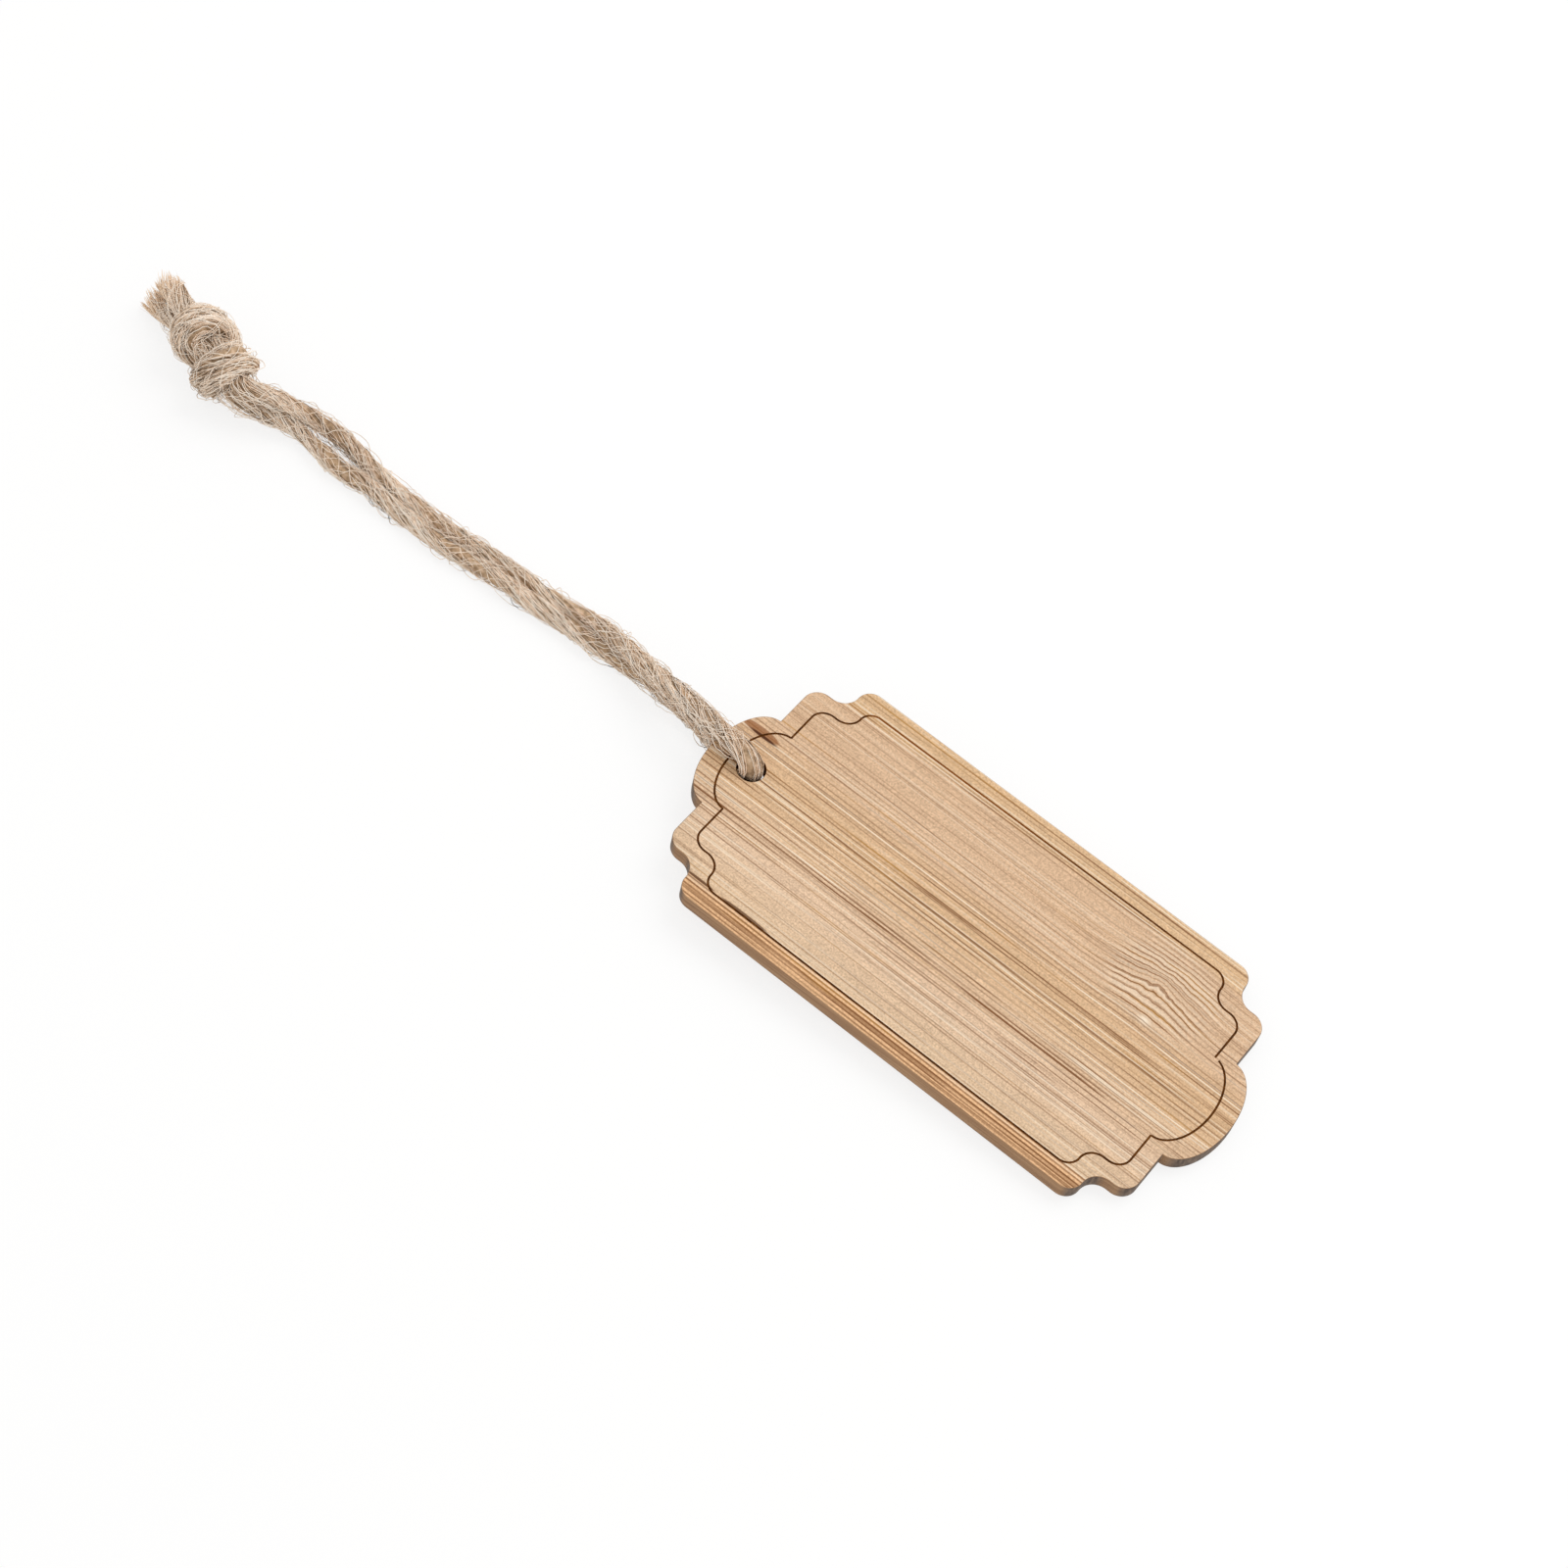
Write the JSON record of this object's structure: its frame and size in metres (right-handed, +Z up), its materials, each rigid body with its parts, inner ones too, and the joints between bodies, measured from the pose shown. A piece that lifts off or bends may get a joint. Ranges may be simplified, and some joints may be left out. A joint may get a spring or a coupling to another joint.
{
  "type": "hang tag",
  "caption": "Scalloped bamboo hang tag on a knotted loop of jute twine, tied to a plant, pot or parcel to carry a name or a note.",
  "frame": {"origin": "centre of the board's box, on the table it lies on", "axes": "+X along the board away from its hole, +Y across it, +Z up from the table"},
  "size_m": [0.1524, 0.033, 0.007],
  "materials": {
    "bamboo": "bare, fine-sanded, laser-cut edges",
    "jute": "dry, twisted, fuzzy"
  },
  "bodies": {
    "tag": {"board": "bamboo"},
    "loop": {"twine_bight": "jute"},
    "legs": {"twine_bend_over": "jute", "twine_bend_under": "jute", "twine_leg_over": "jute", "twine_leg_under": "jute", "knot_strand_over": "jute", "knot_strand_under": "jute", "twine_tail_over": "jute", "twine_tail_under": "jute"}
  },
  "joints": [
    {"name": "tag_swivel", "type": "hinge", "parent": "tag", "child": "loop", "pos_m": [-0.0285, 0, 0.00341], "axis": [0, 0, 1], "range_deg": [-75, 75]},
    {"name": "twine_fold", "type": "hinge", "parent": "loop", "child": "legs", "pos_m": [-0.041, 0.0026, 0.003], "axis": [0, 1, 0], "range_deg": [0, 120], "deforming": ["twine_bend_over", "twine_bend_under"]}
  ]
}
